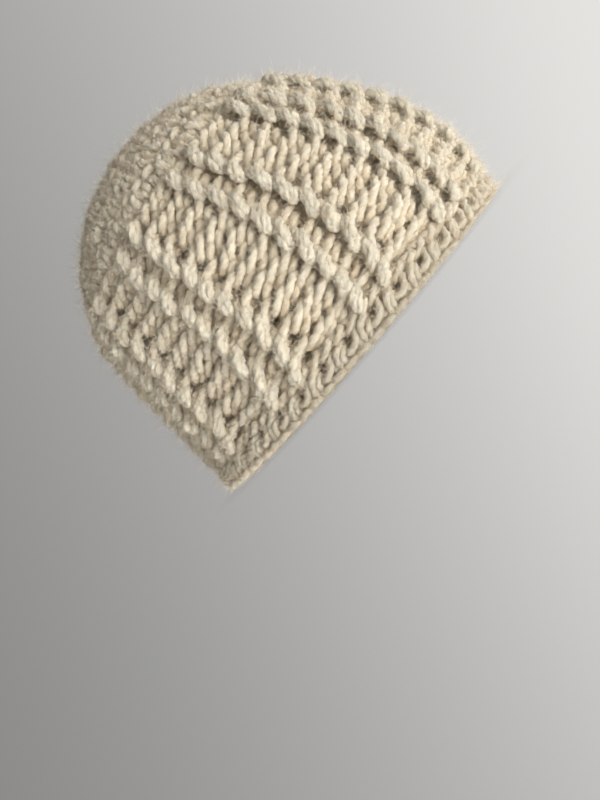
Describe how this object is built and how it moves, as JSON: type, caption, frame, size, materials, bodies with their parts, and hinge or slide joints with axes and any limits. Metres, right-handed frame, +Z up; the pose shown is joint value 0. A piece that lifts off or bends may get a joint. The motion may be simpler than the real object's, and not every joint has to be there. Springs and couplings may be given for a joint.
{
  "type": "crocheted beanie",
  "caption": "Chunky crocheted wool beanie worked in rounds from the crown, with paired raised ribs down to a tight single-crochet brim.",
  "frame": {"origin": "under the middle of the hat, in the plane of its rim", "axes": "+Z up through the crown, -Y towards the forehead, +Y towards the nape, -X towards the wearer's right ear"},
  "size_m": [0.1794, 0.2108, 0.1562],
  "materials": {
    "wool": "soft, fuzzy, plied cream wool yarn, matt"
  },
  "bodies": {
    "root": {"edge_chain": "wool", "brim_round_1": "wool", "brim_round_2": "wool", "ribbed_round_01": "wool", "ribbed_round_02": "wool", "ribbed_round_03": "wool", "ribbed_round_04": "wool", "ribbed_round_05": "wool", "ribbed_round_06": "wool", "ribbed_round_07": "wool", "ribbed_round_08": "wool", "ribbed_round_09": "wool", "ribbed_round_10": "wool", "crown_round_5": "wool", "crown_round_4": "wool", "crown_round_3": "wool", "crown_round_2": "wool", "crown_round_1": "wool", "crown_ring": "wool"}
  },
  "joints": []
}
